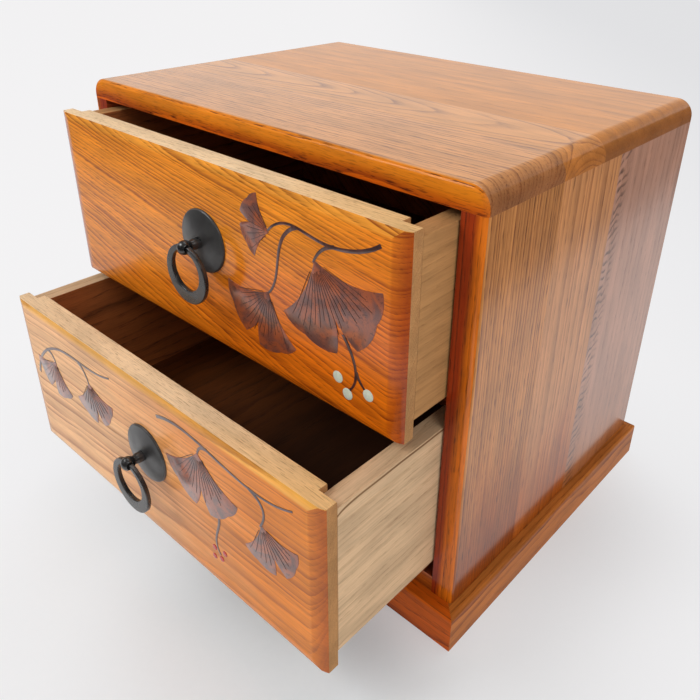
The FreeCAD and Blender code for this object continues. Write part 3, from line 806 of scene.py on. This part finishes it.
class CHEST_OT_pulls(bpy.types.Operator):
    """Dress the ring pulls and their nuts and washers"""
    bl_idname = "chest.pulls"
    bl_label = "Ring pulls"

    def execute(self, context):
        # The plate's black is paler than the ring's: painted sheen.
        black = black_metal("baked_black_iron", "#3A3938", 0.34)
        ring_black = black_metal("baked_black_iron_ring", colours().metal, 0.27)
        steel = bpy.data.materials["zinc_plated_steel"]
        for label in DRAWERS:
            for part, body, material in (("plate", "drawer", black), ("post", "drawer", ring_black),
                                         ("ring", "ring", ring_black)):
                fitting(f"{label}_pull_{part}", "_metal", f"{label}_{body}", "black_metal", material, 40.0)
            for part in ("washer", "nut"):
                fitting(f"{label}_pull_{part}", "_steel", label + "_drawer", "zinc_steel", steel, 30.0,
                        0.25 * MM)
        return {"FINISHED"}


# Inlay

# In millimetres each leaf's heel along X and above the front's middle and its size, then its turn in
# degrees
LEAVES = {
    "upper": ((66.0, 19.0, 36.0, 207.0), (40.0, -3.0, 28.0, 156.0), (42.0, 22.5, 17.0, 84.0)),
    "lower": ((-77.0, 17.0, 21.0, 160.0), (-45.0, 20.0, 22.0, 196.0), (39.0, 27.0, 30.0, 180.0),
              (76.0, 14.0, 22.0, 208.0)),
}
VEIN_FAN = math.radians(50)  # from a leaf's middle to its outermost vein
VEIN_START, VEIN_END = 0.16, 0.84  # shares of the leaf's size
VEIN_SPACING = 5.0  # leaf size for each further pair of veins
PROUD = 0.02 * MM  # how far the middle of a vein stands out of its leaf


def vein_tree(material):
    """Geometry nodes: a fan of fine ridges that spread from a leaf's heel."""
    tree, start, names = geometry_tree("leaf_veins", "Heel", "Veins", Size="Float", Turn="Float", Fan="Float",
                                       Width="Float", Count="Int", Start="Float", End="Float", Seed="Int")
    line = add(tree, "GeometryNodeCurvePrimitiveBezierSegment", {
        "Resolution": 6, "Start": add(tree, "CombineXYZ", [0.0, 0.0, start["Start"]]),
        "Start Handle": (0.018, 0, 0.35), "End Handle": (0.0, 0, 0.62),
        "End": add(tree, "CombineXYZ", [0.03, 0.0, start["End"]])})
    spots = add(tree, "GeometryNodeMeshLine", {"Count": start["Count"], "Offset": (0, 0, 0)})
    last = add(tree, "Math SUBTRACT", [start["Count"], 1.0])
    share = add(tree, "Math DIVIDE", [add(tree, "GeometryNodeInputIndex"), last])
    share = add(tree, "Math MULTIPLY_ADD", [share, -2.0, 1.0])
    angle = add(tree, "Math MULTIPLY", [share, start["Fan"]])
    angle = add(tree, "Math SUBTRACT", [angle, start["Turn"]])
    rotation = add(tree, "FunctionNodeEulerToRotation", [add(tree, "CombineXYZ", [0.0, angle])])
    chance = add(tree, "FunctionNodeRandomValue FLOAT", [0.72, 1.0, None, start["Seed"]])
    length = add(tree, "Math MULTIPLY", [chance, start["Size"]])
    size = add(tree, "CombineXYZ", [start["Size"], start["Size"], length])
    heel = add(tree, "GeometryNodeSampleIndex FLOAT_VECTOR",
               [start["Heel"], add(tree, "GeometryNodeInputPosition"), 0])
    moved = add(tree, "GeometryNodeSetPosition", {"Geometry": spots, "Position": heel})
    fan = add(tree, "GeometryNodeInstanceOnPoints",
              {"Points": moved, "Instance": line, "Rotation": rotation, "Scale": size})
    real = add(tree, "GeometryNodeRealizeInstances", [fan])
    profile = add(tree, "GeometryNodeCurvePrimitiveCircle", {"Resolution": 6, "Radius": start["Width"]})
    tube = add(tree, "GeometryNodeCurveToMesh", {"Curve": real, "Profile Curve": profile, "Fill Caps": True})
    hand_out(tree, tube, material)
    return tree, names


def dome_tree(material):
    """Geometry nodes: a low polished dome on each point."""
    tree, start, names = geometry_tree("inlaid_dots", "Points", "Dots", Radius="Float", Rise="Float")
    ball = add(tree, "GeometryNodeMeshUVSphere", [32, 16, 1.0])
    smooth = add(tree, "GeometryNodeSetShadeSmooth", [ball])
    size = add(tree, "CombineXYZ", [start["Radius"], start["Rise"], start["Radius"]])
    spread = add(tree, "GeometryNodeInstanceOnPoints",
                 {"Points": start["Points"], "Instance": smooth, "Scale": size})
    hand_out(tree, add(tree, "GeometryNodeRealizeInstances", [spread]), material)
    return tree, names


class CHEST_OT_inlay(bpy.types.Operator):
    """Lay the leaves, stems and dots into the drawer fronts"""
    bl_idname = "chest.inlay"
    bl_label = "Leaf inlay"

    def execute(self, context):
        leaf = inlay_wood("varnished_burl_leaf", "#A0502C", colours().inlay, "#2E1512")
        stem = inlay_wood("varnished_burl_stem", "#5A332C", "#3E211E", "#241010")
        dark_line = line_finish("dark_wax_line", "#3E2420")
        shell = polished_dot("polished_shell", "#E2E4D2", "#B9C2AE", 0.25)
        red = polished_dot("red_lacquer", "#D0403A", "#A32A26", 0.0)
        veins = vein_tree(dark_line)
        for label in DRAWERS:
            body = label + "_drawer"
            low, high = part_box(label + "_drawer_front")
            middle_z = (low.z + high.z) / 2
            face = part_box(label + "_inlay_leaves")[0].y
            for part, material in (("leaves", leaf), ("stems", stem)):
                fitting(f"{label}_inlay_{part}", "_wood", body, "dark_wood", material, 35.0, 0.12 * MM,
                        lambda start, end: max(start.y, end.y) < face + PROUD)
            for number, (x, z, size, turn) in enumerate(LEAVES[label]):
                holder = drawn("heel", [(x * MM, face - PROUD, middle_z + z * MM)])
                made = baked(holder, veins, {
                    "Size": size * MM, "Turn": math.radians(turn), "Fan": VEIN_FAN, "Width": sizes().vein / 2,
                    "Count": 2 * round(size / VEIN_SPACING) + 3, "Start": VEIN_START, "End": VEIN_END,
                    "Seed": number})
                piece(made, f"{label}_leaf_veins_{number + 1}", body, "dark_wood")
            kind, slot, material = (("shells", "shell", shell) if label == "upper"
                                    else ("beads", "red_lacquer", red))
            node = f"{label}_inlay_{kind}"
            spots = islands(node)
            radius = (spots[0][1].x - spots[0][0].x) / 2
            points = [((a.x + b.x) / 2, a.y + 0.1 * MM, (a.z + b.z) / 2) for a, b in spots]
            made = baked(drawn("dots", points), dome_tree(material), {"Radius": radius, "Rise": sizes().dome})
            piece(made, node + "_domes", body, slot, node)
        return {"FINISHED"}


# Stage

# Places on the floor where its own paleness gives way to the chest's shadow, and how it comes back
# with the distance from them
GLOW_POOLS = (((0.07, -0.065, 0.0), ((0.03, 0.1), (0.1, 0.5), (0.2, 0.82), (0.35, 0.97))),
              ((0.12, 0.1, 0.0), ((0.0, 0.5), (0.09, 1.0))))
# Painted shade: the floor's glow greys off toward the right and back
GLOW_SHADE_FADE = (0.74, 0.67, 0.0)  # the way in which the floor turns greyer
FLOOR_REACH = 6.0
# Each lamp's place, what it is aimed at, its side and its watts
LAMPS = (("softbox_left", (-0.7, -0.95, 1.15), (0, 0.05, 0.1), 0.7, 11.0),
         ("softbox_right", (1.2, -0.25, 0.9), (0, 0.1, 0.1), 0.9, 6.0),
         ("softbox_top", (-0.1, 0.5, 1.5), (0, 0.1, 0.1), 1.0, 5.0))
# Dark cards that only the gloss sees: two corners on the floor and the height
FLAGS = {"front_flag": ((-1.6, -0.27), (0.28, -0.27), 0.36), "right_flag": ((0.28, -0.27), (0.28, 1.4), 0.36)}
CAMERA_PLACE = Vector((235.43, -187.55, 285.72)) * MM
CAMERA_TURN = (62.342, -0.856, 41.967)  # degrees
CAMERA_LENS = 37.446
CAMERA_SHIFT = (-0.0263, -0.0832)


class CHEST_OT_stage(bpy.types.Operator):
    """Set up the pale floor, the soft studio light and the camera"""
    bl_idname = "chest.stage"
    bl_label = "Stage"

    def execute(self, context):
        context.scene.view_settings.view_transform = "Standard"
        self.lay_floor()
        self.light(context.scene)
        self.set_flags()
        self.place_camera(context.scene)
        return {"FINISHED"}

    def lay_floor(self):
        """Pale paper that keeps the chest's shadow and is as pale as the background away from it."""
        made, tree, place = new_material("pale_paper_floor")
        tooth = add(tree, "TexNoise", {"Vector": place, "Scale": 300.0, "Detail": 2.0})
        tone = add(tree, "Mix RGBA", [tooth, "#EEF3F7", "#F1F6FA"])
        shader = add(tree, "BsdfPrincipled", {"Base Color": tone, "Roughness": 0.9})
        # Painted shade: the glow turns greyer across the floor
        shade_falloff = add(tree, "VectorMath DOT_PRODUCT", [place, GLOW_SHADE_FADE])
        shade_falloff = add(tree, "ValToRGB", [shade_falloff], stops=((0.0, 0.0), (0.8, 1.0)))
        glow = add(tree, "Mix RGBA", [shade_falloff, "#F4F3F4", "#E3E3E5"])
        glow = add(tree, "Emission", [glow, 1.0])
        rays = add(tree, "LightPath").outputs
        seen = add(tree, "Math MAXIMUM", [rays["Is Glossy Ray"], rays["Is Transmission Ray"]])
        seen = add(tree, "Math MAXIMUM", [rays["Is Camera Ray"], seen])
        for centre, stops in GLOW_POOLS:
            far = add(tree, "VectorMath DISTANCE", [place, centre])
            seen = add(tree, "Math MULTIPLY", [seen, add(tree, "ValToRGB", [far], stops=stops)])
        add(tree, "OutputMaterial", [add(tree, "MixShader", [seen, shader, glow])])
        corners = ((-1, -1), (1, -1), (1, 1), (-1, 1))
        floor = drawn("floor", [(x * FLOOR_REACH, y * FLOOR_REACH, 0) for x, y in corners], [(0, 1, 2, 3)])
        floor.data.materials.append(made)

    def light(self, scene):
        """A pale sky that darkens overhead, and three soft lamps."""
        world = bpy.data.worlds.new("soft_studio")
        scene.world = world
        world.use_nodes = True
        sky = world.node_tree
        sky.nodes.clear()
        toward = add(sky, "TexCoord").outputs["Generated"]
        rise = add(sky, "SeparateXYZ", [toward]).outputs["Z"]
        level = add(sky, "ValToRGB", [rise], stops=((0.0, 0.96), (0.22, 0.92), (0.45, 0.36), (0.8, 0.24)))
        add(sky, "OutputWorld", [add(sky, "Background", ["#F8F6F3", level])])

        for name, spot, aim, size, power in LAMPS:
            data = bpy.data.lights.new(name, "AREA")
            data.shape = "SQUARE"
            data.size = size
            data.energy = power
            lamp = placed(name, data)
            lamp.location = spot
            lamp.rotation_euler = (Vector(aim) - Vector(spot)).to_track_quat("-Z", "Y").to_euler()

    def set_flags(self):
        """The dark studio beyond the floor, for the varnish to mirror."""
        card, tree, place = new_material("black_flag_card")
        fibre = add(tree, "TexNoise", {"Vector": place, "Scale": 40.0})
        tone = add(tree, "Mix RGBA", [fibre, "#17171A", "#232326"])
        shaded(card, {"Base Color": tone, "Roughness": 0.9})
        for name, corners in FLAGS.items():
            (x0, y0), (x1, y1), top = corners
            flag = drawn(name, [(x0, y0, 0), (x1, y1, 0), (x1, y1, top), (x0, y0, top)], [(0, 1, 2, 3)])
            flag.data.materials.append(card)
            flag.visible_camera = flag.visible_diffuse = False
            flag.visible_shadow = flag.visible_transmission = False

    def place_camera(self, scene):
        """The photographed view."""
        data = bpy.data.cameras.new("camera")
        data.sensor_width = 36.0
        data.lens = CAMERA_LENS
        data.shift_x, data.shift_y = CAMERA_SHIFT
        data.clip_start = 0.01
        camera = placed("camera", data)
        camera.location = CAMERA_PLACE
        camera.rotation_euler = Euler([math.radians(a) for a in CAMERA_TURN], "XYZ")
        scene.camera = camera


class CHEST_PT_panel(bpy.types.Panel):
    """Lists the steps that dress the chest"""
    bl_idname = "CHEST_PT_panel"
    bl_label = "Tansu chest"
    bl_space_type = "VIEW_3D"
    bl_region_type = "UI"
    bl_category = "Tansu chest"

    def draw(self, context):
        for operator in OPERATORS:
            self.layout.operator(operator.bl_idname)
        for group in (context.scene.chest_colours, context.scene.chest_sizes):
            for name in group.bl_rna.properties.keys():
                if name not in ("rna_type", "name"):
                    self.layout.prop(group, name)


OPERATORS = (CHEST_OT_stage, CHEST_OT_carcass, CHEST_OT_plinth, CHEST_OT_screws, CHEST_OT_drawers,
             CHEST_OT_pulls, CHEST_OT_inlay)
CLASSES = (ChestColours, ChestSizes) + OPERATORS + (CHEST_PT_panel,)


def register():
    for cls in CLASSES:
        bpy.utils.register_class(cls)
    bpy.types.Scene.chest_colours = bpy.props.PointerProperty(type=ChestColours)
    bpy.types.Scene.chest_sizes = bpy.props.PointerProperty(type=ChestSizes)


def unregister():
    del bpy.types.Scene.chest_colours
    del bpy.types.Scene.chest_sizes
    for cls in reversed(CLASSES):
        bpy.utils.unregister_class(cls)


def main():
    register()
    for operator in OPERATORS:
        getattr(bpy.ops.chest, operator.bl_idname.split(".")[1])()


if __name__ == "__main__":
    main()
